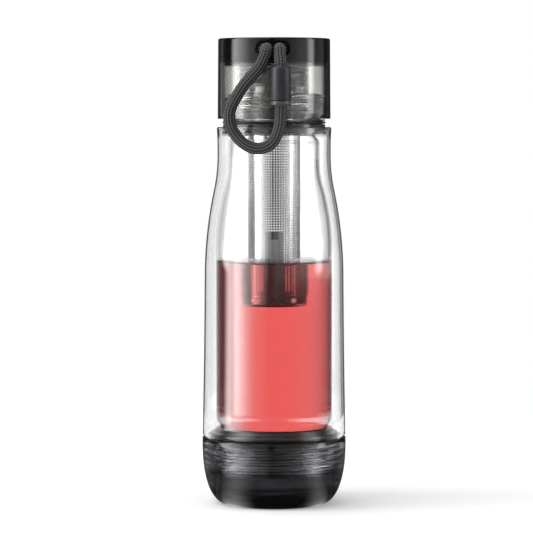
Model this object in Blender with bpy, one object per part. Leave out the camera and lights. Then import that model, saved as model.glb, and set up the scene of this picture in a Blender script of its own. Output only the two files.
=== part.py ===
"""Tea infuser flask: smoky base cup, clear shell round a glass core, steel infuser, smoky lid and cord loop.

Metres, +Z up. The flask stands on z = 0 and its axis is the Z axis. The cord hangs on the -Y side, the front.
Every outline is a closed loop of (radius, height) points.
It runs down the outer side and back up the inner side.
"""

import math

import bmesh
import bpy
from mathutils import Vector

MM = 0.001

# How finely round pieces are faceted.
SEGMENTS = 32
RING_SEGMENTS = 28
CURVE_STEPS = 3
MERGE = 0.01 * MM
OVERRUN = 2.0 * MM
SHARP_ANGLE = math.radians(32)

# Clearance at every seat, and the smaller one of a silicone lip in its bore.
SEAT = 0.3 * MM
LIP_CLEAR = 0.22 * MM

# Base cup.
BASE_R = 36.9 * MM
BASE_HEIGHT = 33.9 * MM
BASE_WALL = 2.5 * MM
BASE_FLOOR = 3.2 * MM
BASE_LEDGE = 2.5 * MM
BOWL_ROUND = 11.9 * MM
BOWL_POWER = 2.6
BOWL_STEPS = 7
CHAMBER_STEPS = 5

# Ring seal between the base cup and the shell.
SEAL_HEIGHT = 1.2 * MM
SEAL_WIDTH = 2.2 * MM

# Screw thread between the base cup and the shell's skirt. The ribs of the two pieces mesh.
BASE_PITCH = 3.07 * MM
MALE_TURNS = 4.4
FEMALE_TURNS = 3.9
MALE_DEPTH = 1.1 * MM
FEMALE_DEPTH = 1.0 * MM
RIB_FOOT = 1.3 * MM
RIB_CREST = 0.7 * MM
RIB_SINK = 0.4 * MM
RIB_START = 1.0 * MM
RUN_OUT_SHARE = 0.12

# Clear outer shell.
JOINT_GAP = 0.5 * MM
SHELL_HEIGHT = 158.9 * MM
SHELL_WALL = 1.7 * MM
SHELL_STEP_IN = 0.15 * MM
SHELL_MID_TAPER = 0.7 * MM
SHELL_TAPER = 1.1 * MM
SHELL_TOP_R = 29.35 * MM
NECK_FLARE = 0.35 * MM
SHELL_CHAMFER = 1.4 * MM
SHELL_CHAMFER_IN = 0.9 * MM
SHELL_TOP_EDGE = 0.5 * MM
SHELL_LEDGE = 0.6 * MM
SHELL_LIP = 1.5 * MM
SKIRT_LENGTH = 17.8 * MM
SKIRT_WALL = 2.0 * MM
SHELL_MID_SHARE = 0.26
SHELL_SHOULDER_SHARE = 0.514
SHELL_BEND_SHARE = 0.797
SHELL_NECK_SHARE = 0.91
SHELL_FLARE_SHARE = 0.955
SHELL_CORNER_SHARE = 0.024

# Glass core.
AIR_GAP = 4.15 * MM
NECK_AIR_GAP = 3.8 * MM
CORE_WALL = 1.8 * MM
CORE_FOOT_ROUND = 10.5 * MM
CORE_ROUND_STEPS = 4
CORE_LIP = 0.5 * MM
MOUTH_RISE = 27.9 * MM
NECK_DROP = 8.8 * MM
NECK_CURVE = 11.5 * MM
NECK_BEND_SHARE = 0.435
CORE_SHOULDER_SHARE = 0.613
CORE_BEND_SHARE = 0.848
CORE_UPPER_SHARE = 0.929

# Silicone cushion under the glass, and the plug that closes the shell's skirt.
CUSHION_FLOOR = 2.3 * MM
CUSHION_RIM_WIDTH = 1.7 * MM
CUSHION_RISE = 3.9 * MM
CUSHION_EDGE = 0.9 * MM
CUSHION_LIP = 0.9 * MM
CUSHION_CLEAR = 1.2 * MM
PLUG_WALL = 2.0 * MM
PLUG_FLOOR = 2.0 * MM
PLUG_EDGE = 0.8 * MM

# Neck collar, which carries the lid's thread, with its silicone bush and its ring seal.
COLLAR_WALL = 2.2 * MM
COLLAR_FLANGE = 1.3 * MM
COLLAR_FLANGE_OVERLAP = 0.8 * MM
COLLAR_STEP = 2.35 * MM
COLLAR_THREAD_HEIGHT = 13.4 * MM
COLLAR_TOP = 1.5 * MM
COLLAR_EDGE = 0.6 * MM
GROOVE_HEIGHT = 1.8 * MM
GROOVE_DEPTH = 1.3 * MM
GROOVE_ABOVE_SHELL = 1.5 * MM
NECK_RING_PROUD = 0.25 * MM
BUSH_WALL = 3.1 * MM

# Lid thread. Its two crests pass each other.
LID_PITCH = 4.0 * MM
LID_MALE_TURNS = 2.25
LID_FEMALE_TURNS = 2.0
LID_RIB_DEPTH = 0.75 * MM
LID_RIB_START = 1.9 * MM
LID_CREST_CLEAR = 0.4 * MM

# Infuser.
INFUSER_WALL = 0.5 * MM
INFUSER_DEPTH = 119.3 * MM
FOOT_HEIGHT = 4.5 * MM
FOOT_ROUND = 1.5 * MM
FOOT_FLOOR = 0.8 * MM
FOOT_SPIGOT = 2.2 * MM
TUBE_BEAD = 1.5 * MM
TUBE_BEAD_HEIGHT = 0.6 * MM
RIM_FLANGE = 1.5 * MM
RIM_SEAT_DEPTH = 1.2 * MM
RIM_SPIGOT = 7.2 * MM
RIM_WALL = 2.45 * MM
RIM_GROOVE_DROP = 3.0 * MM
RIM_GROOVE = 2.5 * MM
RIM_GROOVE_DEPTH = 1.0 * MM

# Lid: gasket, inner liner and outer cap.
GASKET_HEIGHT = 1.3 * MM
GASKET_WIDTH = 3.9 * MM
LINER_WALL = 1.3 * MM
LINER_TOP = 1.3 * MM
LINER_RISE = 0.4 * MM
LID_STEP_IN = 0.45 * MM
LID_TAPER = 0.25 * MM
LID_GAP = 4.3 * MM
LID_WALL = 1.5 * MM
LID_TOP = 1.5 * MM
LID_EDGE = 0.9 * MM
CORD_CHAMBER = 10.8 * MM

# Cord hole in the lid, the post behind it, and the braided cord with its joining sleeve.
HOLE_WIDTH = 17.6 * MM
HOLE_HEIGHT = 8.0 * MM
HOLE_DROP = 5.8 * MM
HOLE_X = -0.8 * MM
HOLE_END_STEPS = 6
POST_R = 2.7 * MM
POST_INSET = 8.3 * MM
CORD_R = 3.0 * MM
CORD_SIDES = 2
CORD_STAND_OFF = 3.2 * MM
CORD_STEPS = 2
SLEEVE_R = 5.0 * MM
SLEEVE_FOOT_R = 5.25 * MM
SLEEVE_BORE_R = 3.35 * MM
SLEEVE_EDGE = 1.4 * MM
BAND_HEIGHT = 2.2 * MM
BAND_RIM = 1.0 * MM
BAND_WAIST = 0.35 * MM
SLEEVE_SEGMENTS = 20

# The free cord's route: millimetres right of the hinge point, in front of it and above it.
CORD_ROUTE = (
    (-3.85, 0.0, 0.0),
    (-4.9, 0.2, -3.6),
    (-7.7, 0.4, -9.5),
    (-11.7, 0.2, -14.1),
    (-15.9, -0.3, -19.2),
    (-20.2, -1.1, -26.3),
    (-22.2, -1.5, -31.2),
    (-22.4, -1.5, -36.0),
    (-21.0, -1.3, -40.7),
    (-17.2, -0.6, -45.8),
    (-12.7, 0.1, -49.0),
    (-8.0, 0.5, -50.0),
    (-3.4, 0.7, -48.8),
    (0.0, 0.9, -45.6),
    (2.0, 1.2, -40.7),
    (2.9, 1.7, -36.0),
    (3.2, 2.3, -31.2),
    (3.2, 2.5, -28.4),
    (3.2, 2.5, -18.0),
    (3.2, 2.5, -8.6),
    (2.8, 1.5, -4.2),
    (2.55, 0.0, 0.0),
)

# The cord's route inside the lid, round the post: millimetres right of the hinge point, behind it, above it.
BIGHT_ROUTE = (
    (-3.85, 3.35, 0.0),
    (-4.4, 5.6, 0.0),
    (-6.2, 9.0, -0.3),
    (-6.9, 13.2, -0.5),
    (-5.1, 17.5, -0.5),
    (-0.8, 19.4, -0.5),
    (3.5, 17.5, -0.5),
    (5.3, 13.2, -0.5),
    (4.6, 9.0, -0.3),
    (3.1, 5.6, 0.0),
    (2.55, 3.35, 0.0),
)

# Radii and heights that more than one piece uses, worked out from the sizes above.
bore_r = BASE_R - BASE_WALL
chamber_r = bore_r - BASE_LEDGE
skirt_r = bore_r - SEAT - MALE_DEPTH
skirt_bore_r = skirt_r - SKIRT_WALL
shoulder_z = BASE_HEIGHT + JOINT_GAP
skirt_foot_z = shoulder_z - SKIRT_LENGTH
ledge_z = skirt_foot_z - SEAT
rebate_z = shoulder_z - SEAT - SEAL_HEIGHT - SEAT
seal_r = skirt_r + SEAT + SEAL_WIDTH

shell_foot_r = BASE_R - SHELL_STEP_IN
shell_body_r = shell_foot_r - SHELL_TAPER
shell_neck_r = SHELL_TOP_R - NECK_FLARE
shell_top_z = shoulder_z + SHELL_HEIGHT
shell_ledge_z = shoulder_z + SHELL_LEDGE
shell_top_bore_r = SHELL_TOP_R - SHELL_WALL
collar_r = shell_top_bore_r - SHELL_LIP
thread_r = collar_r - COLLAR_STEP
collar_bore_r = thread_r - COLLAR_WALL

core_r = shell_body_r - SHELL_WALL - AIR_GAP
core_upper_r = shell_neck_r - SHELL_WALL - NECK_AIR_GAP
mouth_r = collar_bore_r - SEAT - BUSH_WALL - SEAT
mouth_bore_r = mouth_r - CORE_WALL
cushion_foot_z = shell_ledge_z + SEAT - CUSHION_RIM_WIDTH - SEAT
core_foot_z = cushion_foot_z + CUSHION_FLOOR + SEAT
mouth_z = shell_top_z + MOUTH_RISE
neck_low_z = shell_top_z - NECK_DROP
neck_high_z = neck_low_z + NECK_CURVE

lid_foot_z = shell_top_z + LID_GAP
collar_shoulder_z = lid_foot_z - SEAT
collar_top_z = collar_shoulder_z + COLLAR_THREAD_HEIGHT
groove_z = shell_top_z + GROOVE_ABOVE_SHELL

infuser_r = mouth_bore_r - SEAT - RIM_WALL - SEAT
rim_top_z = mouth_z + SEAT + RIM_FLANGE
tube_bead_z = rim_top_z - RIM_SEAT_DEPTH + SEAT
infuser_foot_z = mouth_z - INFUSER_DEPTH
tube_foot_z = infuser_foot_z + FOOT_HEIGHT + SEAT

gasket_z = rim_top_z + SEAT
liner_ceiling_z = gasket_z + GASKET_HEIGHT + SEAT
liner_top_z = liner_ceiling_z + LINER_TOP
lid_ceiling_z = liner_top_z + CORD_CHAMBER
lid_top_z = lid_ceiling_z + LID_TOP
lid_r = SHELL_TOP_R - LID_STEP_IN
lid_top_r = lid_r - LID_TAPER
lid_bore_r = lid_top_r - LID_WALL
liner_r = lid_bore_r - SEAT
liner_bore_r = liner_r - LINER_WALL

hole_z = lid_top_z - HOLE_DROP
hinge_point = Vector((0, -lid_r - CORD_STAND_OFF, hole_z))


def clear_scene():
    for obj in list(bpy.data.objects):
        bpy.data.objects.remove(obj)


def new_material(name, color, roughness, metallic=0.0, alpha=1.0):
    material = bpy.data.materials.new(name)
    material.use_nodes = True
    shader = material.node_tree.nodes["Principled BSDF"]
    shader.inputs["Base Color"].default_value = (*color, 1.0)
    shader.inputs["Roughness"].default_value = roughness
    shader.inputs["Metallic"].default_value = metallic
    shader.inputs["Alpha"].default_value = alpha
    return material


def new_object(name, data):
    obj = bpy.data.objects.new(name, data)
    bpy.context.scene.collection.objects.link(obj)
    return obj


def new_axis(name, place, parent=None):
    """An empty on a joint's axis, which the joint's pieces hang from."""
    axis = new_object(name, None)
    axis.location = place
    if parent:
        axis.parent = parent
        axis.location = Vector(place) - parent.matrix_world.translation
    bpy.context.view_layer.update()
    return axis


def hang(obj, axis):
    """Parents obj to an axis and leaves it where it is."""
    obj.parent = axis
    obj.matrix_parent_inverse = axis.matrix_world.inverted()


def s_curve(low, bend_z, high, steps=CURVE_STEPS):
    """Points from low to high, both (radius, height): two arcs, upright at both ends, that meet at bend_z."""
    (low_r, low_z), (high_r, high_z) = low, high
    turn = 2 * math.atan((low_r - high_r) / (high_z - low_z))
    low_arc = (bend_z - low_z) / math.sin(turn)
    high_arc = (high_z - bend_z) / math.sin(turn)
    points = []
    for i in range(steps + 1):
        angle = turn * i / steps
        points.append((low_r - low_arc * (1 - math.cos(angle)), low_z + low_arc * math.sin(angle)))
    for i in range(steps - 1, -1, -1):
        angle = turn * i / steps
        points.append((high_r + high_arc * (1 - math.cos(angle)), high_z - high_arc * math.sin(angle)))
    return points


def bowl_curve(flat_r, low_z, full_r, high_z, steps):
    """Points of a bowl's side, from its flat floor up to its full radius, evenly spaced along its turn."""
    points = []
    for i in range(steps + 1):
        angle = math.pi / 2 * i / steps
        depth_share = math.cos(angle) ** (2 / BOWL_POWER)
        points.append((flat_r + (full_r - flat_r) * math.sin(angle), high_z - (high_z - low_z) * depth_share))
    return points


def quarter(center_r, center_z, radius, steps):
    """Points of a rounded foot: from straight below the centre to straight outwards of it."""
    points = []
    for i in range(steps + 1):
        angle = math.pi / 2 * i / steps
        points.append((center_r + radius * math.sin(angle), center_z - radius * math.cos(angle)))
    return points


def turned(name, outline, segments=SEGMENTS):
    """A solid of revolution about the Z axis, from a closed outline of (radius, height) points."""
    mesh = bpy.data.meshes.new(name)
    count = len(outline)
    edges = [(i, (i + 1) % count) for i in range(count)]
    if outline[0][0] == 0 and outline[-1][0] == 0:
        edges = edges[:-1]
    mesh.from_pydata([(r, 0, z) for r, z in outline], edges, [])
    obj = new_object(name, mesh)
    screw = obj.modifiers.new("Turn", "SCREW")
    screw.steps = segments
    screw.render_steps = segments
    screw.use_merge_vertices = True
    screw.merge_threshold = MERGE
    return obj


def helical_rib(name, root_r, crest_r, pitch, turns, start_z):
    """One thread rib. Its foot is sunk in the wall at root_r, and both ends run out into that wall.

    Its corners lie half a facet round from the wall's, so that the two meet in clean edges.
    """
    outward = 1 if crest_r > root_r else -1
    sunk_r = root_r - outward * RIB_SINK
    hidden_r = root_r - outward * RIB_SINK / 2
    steps = round(turns * SEGMENTS)
    run_out = RUN_OUT_SHARE * SEGMENTS
    mesh = bmesh.new()
    rings = []
    for i in range(steps + 1):
        height_share = min(1.0, i / run_out, (steps - i) / run_out)
        tip_r = hidden_r + (crest_r - hidden_r) * height_share
        angle = 2 * math.pi * (i + 0.5) / SEGMENTS
        z = start_z + pitch * i / SEGMENTS
        section = (
            (sunk_r, -RIB_FOOT / 2),
            (tip_r, -RIB_CREST / 2),
            (tip_r, RIB_CREST / 2),
            (sunk_r, RIB_FOOT / 2),
        )
        rings.append(
            [mesh.verts.new((r * math.cos(angle), r * math.sin(angle), z + dz)) for r, dz in section]
        )
    for ring, following in zip(rings, rings[1:]):
        for a in range(len(ring)):
            b = (a + 1) % len(ring)
            mesh.faces.new((ring[a], ring[b], following[b], following[a]))
    mesh.faces.new(rings[0])
    mesh.faces.new(rings[-1])
    bmesh.ops.recalc_face_normals(mesh, faces=mesh.faces)
    data = bpy.data.meshes.new(name)
    mesh.to_mesh(data)
    mesh.free()
    return new_object(name, data)


def combine(obj, tool, operation):
    """Unites obj with a helper solid, or cuts it by one."""
    tool.hide_render = True
    tool.display_type = "WIRE"
    boolean = obj.modifiers.new(operation.title(), "BOOLEAN")
    boolean.operation = operation
    boolean.object = tool


def finish(obj, material, axis=None):
    """Applies the modifiers, shades the round faces smooth and gives the piece its material and its axis."""
    bpy.context.view_layer.update()
    evaluated = obj.evaluated_get(bpy.context.evaluated_depsgraph_get())
    mesh = bpy.data.meshes.new_from_object(evaluated)
    if obj.type == "CURVE":
        name = obj.name
        bpy.data.objects.remove(obj)
        obj = new_object(name, mesh)
    else:
        for modifier in list(obj.modifiers):
            if modifier.type == "BOOLEAN":
                bpy.data.objects.remove(modifier.object)
        obj.modifiers.clear()
        obj.data = mesh
    mesh.name = obj.name
    mesh.shade_smooth()
    mesh.set_sharp_from_angle(angle=SHARP_ANGLE)
    mesh.materials.clear()
    mesh.materials.append(material)
    if axis:
        hang(obj, axis)
    return obj


def smooth_route(points, steps):
    """Points on one smooth curve through the given points, with steps of them from each to the next."""
    ends = [2 * points[0] - points[1], *points, 2 * points[-1] - points[-2]]
    route = []
    for before, a, b, after in zip(ends, ends[1:], ends[2:], ends[3:]):
        for i in range(steps):
            t = i / steps
            bend = (2 * before - 5 * a + 4 * b - after) * t * t + (3 * a - before - 3 * b + after) * t ** 3
            route.append(a + ((b - before) * t + bend) / 2)
    route.append(points[-1])
    return route


def cord_tube(name, route):
    """A round cord along a route, as a curve with closed ends."""
    curve = bpy.data.curves.new(name, "CURVE")
    curve.dimensions = "3D"
    curve.bevel_depth = CORD_R
    curve.bevel_resolution = CORD_SIDES
    curve.use_fill_caps = True
    spline = curve.splines.new("POLY")
    spline.points.add(len(route) - 1)
    for point, place in zip(spline.points, route):
        point.co = (*place, 1)
    return new_object(name, curve)


def make_base_cup():
    """The smoky cup that the flask stands on: a bowl with a thread inside its mouth and a hollow below it."""
    outline = [
        *reversed(bowl_curve(BASE_R - BOWL_ROUND, 0, BASE_R, BASE_HEIGHT, BOWL_STEPS)),
        (0, 0),
        (0, BASE_FLOOR),
        *bowl_curve(chamber_r - BOWL_ROUND, BASE_FLOOR, chamber_r, ledge_z, CHAMBER_STEPS),
        (bore_r, ledge_z),
        (bore_r, rebate_z),
        (seal_r + SEAT, rebate_z),
        (seal_r + SEAT, BASE_HEIGHT),
    ]
    cup = turned("base_cup", open_at_axis(outline))
    crest_r = bore_r - FEMALE_DEPTH
    start_z = skirt_foot_z + RIB_START + BASE_PITCH / 2
    rib = helical_rib("base_cup_rib", bore_r, crest_r, BASE_PITCH, FEMALE_TURNS, start_z)
    combine(cup, rib, "UNION")
    return finish(cup, new_material("smoky_base", (0.16, 0.16, 0.18), 0.12, alpha=0.75))


def open_at_axis(outline):
    """The same closed loop, started at its upper point on the axis, so that it begins and ends there."""
    start = max(i for i, (r, _) in enumerate(outline) if r == 0)
    return outline[start:] + outline[:start]


def make_base_seal(axis):
    """The black ring seal that sits round the skirt, under the shell's shoulder."""
    top_z = shoulder_z - SEAT
    low_z = top_z - SEAL_HEIGHT
    inner_r = skirt_r + SEAT
    outline = [(seal_r, top_z), (seal_r, low_z), (inner_r, low_z), (inner_r, top_z)]
    ring = turned("base_seal_ring", outline)
    return finish(ring, new_material("black_silicone", (0.02, 0.02, 0.022), 0.6), axis)


def shell_side():
    """The shell's outer side above its foot chamfer, from the foot up to the neck."""
    low = (shell_body_r, shoulder_z + SHELL_SHOULDER_SHARE * SHELL_HEIGHT)
    high = (shell_neck_r, shoulder_z + SHELL_NECK_SHARE * SHELL_HEIGHT)
    bend_z = shoulder_z + SHELL_BEND_SHARE * SHELL_HEIGHT
    return [
        (shell_foot_r - SHELL_MID_TAPER, shoulder_z + SHELL_MID_SHARE * SHELL_HEIGHT),
        *s_curve(low, bend_z, high),
    ]


def make_outer_shell(axis):
    """The clear moulded shell: body, shoulder, neck with an inward lip, and a threaded skirt below."""
    side = shell_side()
    flare_z = shoulder_z + SHELL_FLARE_SHARE * SHELL_HEIGHT
    corner_z = shoulder_z + SHELL_CORNER_SHARE * SHELL_HEIGHT
    foot_inner_r = shell_foot_r - SHELL_WALL
    outline = [
        (SHELL_TOP_R - SHELL_TOP_EDGE, shell_top_z),
        (SHELL_TOP_R, shell_top_z - SHELL_TOP_EDGE),
        (shell_neck_r, flare_z),
        *reversed(side),
        (shell_foot_r, shoulder_z + SHELL_CHAMFER),
        (shell_foot_r - SHELL_CHAMFER_IN, shoulder_z),
        (skirt_r, shoulder_z),
        (skirt_r, skirt_foot_z),
        (skirt_bore_r, skirt_foot_z),
        (skirt_bore_r, shell_ledge_z),
        (foot_inner_r - SHELL_CHAMFER_IN, shell_ledge_z),
        (foot_inner_r, corner_z),
        *[(r - SHELL_WALL, z) for r, z in side],
        (shell_top_bore_r, flare_z),
        (shell_top_bore_r, shell_top_z - SHELL_LIP),
        (collar_r + SEAT, shell_top_z - SHELL_LIP),
        (collar_r + SEAT, shell_top_z),
    ]
    shell = turned("outer_shell", outline)
    crest_r = skirt_r + MALE_DEPTH
    start_z = skirt_foot_z + RIB_START
    rib = helical_rib("shell_rib", skirt_r, crest_r, BASE_PITCH, MALE_TURNS, start_z)
    combine(shell, rib, "UNION")
    return finish(shell, new_material("clear_plastic", (0.9, 0.92, 0.93), 0.05, alpha=0.3), axis)


def make_core_plug(axis):
    """The grey cup that closes the shell's skirt from inside and carries the cushion."""
    plug_r = skirt_bore_r - SEAT
    top_z = cushion_foot_z - SEAT
    floor_z = skirt_foot_z + PLUG_FLOOR
    outline = [
        (0, floor_z),
        (plug_r - PLUG_WALL, floor_z),
        (plug_r - PLUG_WALL, top_z),
        (plug_r, top_z),
        (plug_r, skirt_foot_z + PLUG_EDGE),
        (plug_r - PLUG_EDGE, skirt_foot_z),
        (0, skirt_foot_z),
    ]
    plug = turned("core_plug", outline)
    return finish(plug, new_material("grey_plastic", (0.35, 0.35, 0.37), 0.35), axis)


def core_foot(radius, foot_z, rounding):
    """The rounded foot of the glass, or of what lies against it, from its flat bottom up to its side."""
    return quarter(radius - rounding, foot_z + rounding, rounding, CORE_ROUND_STEPS)


def make_core_cushion(axis):
    """The dark silicone dish that the glass core sits in. Its rim rests on the ledge in the shell's foot."""
    seat_z = core_foot_z - SEAT
    rim_r = cushion_rim_r()
    lip_z = seat_z + CUSHION_RISE
    dish = [p for p in core_foot(core_r + SEAT, seat_z, CORE_FOOT_ROUND + SEAT) if p[1] < lip_z]
    lip_r = foot_radius_at(core_r + SEAT, seat_z, CORE_FOOT_ROUND + SEAT, lip_z)
    body_r = skirt_bore_r - SEAT
    outline = [
        (0, seat_z),
        *dish,
        (lip_r, lip_z),
        (lip_r + CUSHION_LIP, lip_z),
        (rim_r, shell_ledge_z + SEAT + CUSHION_EDGE),
        (rim_r, shell_ledge_z + SEAT),
        (body_r, shell_ledge_z + SEAT),
        (body_r, cushion_foot_z),
        (0, cushion_foot_z),
    ]
    cushion = turned("core_cushion", outline)
    return finish(cushion, new_material("dark_silicone", (0.09, 0.09, 0.1), 0.5), axis)


def cushion_rim_r():
    """The radius of the cushion's rim, which clears the corner of the shell's foot."""
    return shell_foot_r - SHELL_WALL - SHELL_CHAMFER_IN - CUSHION_CLEAR


def foot_radius_at(radius, foot_z, rounding, z):
    """The radius of a rounded foot at height z."""
    down = foot_z + rounding - z
    return radius - rounding + math.sqrt(rounding ** 2 - down ** 2)


def core_side(inset):
    """The glass core's side from its straight body up to its mouth, moved inwards by inset."""
    body_low_z = core_foot_z + CORE_FOOT_ROUND
    span = neck_low_z - body_low_z
    shoulder = s_curve(
        (core_r - inset, body_low_z + CORE_SHOULDER_SHARE * span),
        body_low_z + CORE_BEND_SHARE * span,
        (core_upper_r - inset, body_low_z + CORE_UPPER_SHARE * span),
    )
    bend_z = neck_low_z + NECK_BEND_SHARE * NECK_CURVE
    neck = s_curve((core_upper_r - inset, neck_low_z), bend_z, (mouth_r - inset, neck_high_z))
    return [*shoulder, *neck]


def make_glass_core(axis):
    """The blown glass core that holds the tea, open at its mouth."""
    outer = core_foot(core_r, core_foot_z, CORE_FOOT_ROUND)
    inner = core_foot(core_r - CORE_WALL, core_foot_z + CORE_WALL, CORE_FOOT_ROUND - CORE_WALL)
    outline = [
        (0, core_foot_z + CORE_WALL),
        *inner,
        *core_side(CORE_WALL),
        (mouth_bore_r, mouth_z - CORE_LIP),
        (mouth_bore_r + CORE_LIP, mouth_z),
        (mouth_r - CORE_LIP, mouth_z),
        (mouth_r, mouth_z - CORE_LIP),
        *reversed(core_side(0)),
        *reversed(outer),
        (0, core_foot_z),
    ]
    core = turned("glass_core", outline)
    return finish(core, new_material("clear_glass", (0.93, 0.96, 0.96), 0.02, alpha=0.25), axis)


def make_neck_collar(axis):
    """The clear collar in the shell's neck: a flange under its lip, a grooved ring and the lid's thread."""
    flange_top_z = shell_top_z - SHELL_LIP - SEAT
    flange_z = flange_top_z - COLLAR_FLANGE
    lip_r = mouth_r + SEAT
    outline = [
        (thread_r - COLLAR_EDGE, collar_top_z),
        (thread_r, collar_top_z - COLLAR_EDGE),
        (thread_r, collar_shoulder_z),
        (collar_r, collar_shoulder_z),
        (collar_r, groove_z + GROOVE_HEIGHT),
        (collar_r - GROOVE_DEPTH, groove_z + GROOVE_HEIGHT),
        (collar_r - GROOVE_DEPTH, groove_z),
        (collar_r, groove_z),
        (collar_r, flange_top_z),
        (collar_r + COLLAR_FLANGE_OVERLAP, flange_top_z),
        (collar_r + COLLAR_FLANGE_OVERLAP, flange_z),
        (collar_bore_r, flange_z),
        (collar_bore_r, collar_top_z - COLLAR_TOP),
        (lip_r, collar_top_z - COLLAR_TOP),
        (lip_r, collar_top_z),
    ]
    collar = turned("neck_collar", outline)
    crest_r = thread_r + LID_RIB_DEPTH
    start_z = collar_shoulder_z + LID_RIB_START
    rib = helical_rib("collar_rib", thread_r, crest_r, LID_PITCH, LID_MALE_TURNS, start_z)
    combine(collar, rib, "UNION")
    return finish(collar, new_material("collar_plastic", (0.85, 0.87, 0.88), 0.1, alpha=0.45), axis)


def make_neck_bush(axis):
    """The silicone bush that holds the glass neck in the collar."""
    outer_r = collar_bore_r - SEAT
    inner_r = mouth_r + SEAT
    top_z = collar_top_z - COLLAR_TOP - SEAT
    foot_z = neck_high_z + SEAT
    outline = [(outer_r, top_z), (outer_r, foot_z), (inner_r, foot_z), (inner_r, top_z)]
    bush = turned("neck_bush", outline, RING_SEGMENTS)
    return finish(bush, new_material("frosted_silicone", (0.75, 0.76, 0.77), 0.4, alpha=0.6), axis)


def make_neck_ring(axis):
    """The dark ring seal in the collar's groove, which shows between shell and lid."""
    outer_r = collar_r + NECK_RING_PROUD
    inner_r = collar_r - GROOVE_DEPTH + SEAT
    low_z = groove_z + SEAT
    top_z = groove_z + GROOVE_HEIGHT - SEAT
    middle_z = (low_z + top_z) / 2
    outline = [(collar_r, top_z), (outer_r, middle_z), (collar_r, low_z), (inner_r, low_z), (inner_r, top_z)]
    ring = turned("neck_ring_seal", outline)
    return finish(ring, new_material("dark_ring_silicone", (0.04, 0.04, 0.045), 0.5), axis)


def make_infuser_tube(axis):
    """The fine steel strainer tube, with a rolled bead at its top that hangs it in the rim."""
    bore = infuser_r - INFUSER_WALL
    bead_r = infuser_r + TUBE_BEAD
    outline = [
        (bead_r, tube_bead_z + TUBE_BEAD_HEIGHT),
        (bead_r, tube_bead_z),
        (infuser_r, tube_bead_z),
        (infuser_r, tube_foot_z),
        (bore, tube_foot_z),
        (bore, tube_bead_z + TUBE_BEAD_HEIGHT),
    ]
    tube = turned("infuser_tube", outline, RING_SEGMENTS)
    return finish(tube, new_material("strainer_steel", (0.6, 0.6, 0.6), 0.3, metallic=1.0), axis)


def make_infuser_foot(axis):
    """The pressed steel cap that closes the tube's lower end. Its spigot goes up into the tube."""
    spigot_r = infuser_r - INFUSER_WALL - SEAT
    spigot_z = infuser_foot_z + FOOT_HEIGHT + FOOT_SPIGOT
    spigot_bore_r = spigot_r - INFUSER_WALL
    floor_z = infuser_foot_z + FOOT_FLOOR
    outline = [
        (0, floor_z),
        (spigot_bore_r, floor_z),
        (spigot_bore_r, spigot_z),
        (spigot_r, spigot_z),
        (spigot_r, infuser_foot_z + FOOT_HEIGHT),
        (infuser_r, infuser_foot_z + FOOT_HEIGHT),
        *reversed(quarter(infuser_r - FOOT_ROUND, infuser_foot_z + FOOT_ROUND, FOOT_ROUND, CURVE_STEPS)),
        (0, infuser_foot_z),
    ]
    foot = turned("infuser_foot", outline, RING_SEGMENTS)
    return finish(foot, new_material("foot_steel", (0.62, 0.62, 0.62), 0.22, metallic=1.0), axis)


def make_infuser_rim(axis):
    """The holder that rests on the glass mouth and carries the strainer tube by its bead."""
    seat_z = rim_top_z - RIM_SEAT_DEPTH
    flange_z = mouth_z + SEAT
    spigot_r = mouth_bore_r - SEAT
    spigot_z = mouth_z - RIM_SPIGOT
    groove_top_z = mouth_z - RIM_GROOVE_DROP
    groove_r = spigot_r - RIM_GROOVE_DEPTH
    outline = [
        (mouth_r, rim_top_z),
        (mouth_r, flange_z),
        (spigot_r, flange_z),
        (spigot_r, groove_top_z),
        (groove_r, groove_top_z),
        (groove_r, groove_top_z - RIM_GROOVE),
        (spigot_r, groove_top_z - RIM_GROOVE),
        (spigot_r, spigot_z),
        (infuser_r + SEAT, spigot_z),
        (infuser_r + SEAT, seat_z),
        (infuser_r + TUBE_BEAD + SEAT, seat_z),
        (infuser_r + TUBE_BEAD + SEAT, rim_top_z),
    ]
    rim = turned("infuser_rim", outline, RING_SEGMENTS)
    return finish(rim, new_material("rim_plastic", (0.8, 0.8, 0.8), 0.3, alpha=0.7), axis)


def make_infuser_seal(axis):
    """The silicone ring in the rim's groove, which wipes the bore of the glass mouth."""
    outer_r = mouth_bore_r - LIP_CLEAR
    inner_r = mouth_bore_r - SEAT - RIM_GROOVE_DEPTH + SEAT
    top_z = mouth_z - RIM_GROOVE_DROP - SEAT
    low_z = mouth_z - RIM_GROOVE_DROP - RIM_GROOVE + SEAT
    outline = [(outer_r, top_z), (outer_r, low_z), (inner_r, low_z), (inner_r, top_z)]
    ring = turned("infuser_seal", outline, RING_SEGMENTS)
    return finish(ring, new_material("pale_silicone", (0.7, 0.7, 0.7), 0.5), axis)


def make_lid_gasket(axis):
    """The silicone gasket between the infuser's rim and the lid's inner ceiling."""
    outer_r = mouth_r
    inner_r = mouth_r - GASKET_WIDTH
    top_z = gasket_z + GASKET_HEIGHT
    outline = [(outer_r, top_z), (outer_r, gasket_z), (inner_r, gasket_z), (inner_r, top_z)]
    gasket = turned("lid_gasket", outline, RING_SEGMENTS)
    return finish(gasket, new_material("gasket_silicone", (0.6, 0.6, 0.6), 0.5), axis)


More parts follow.
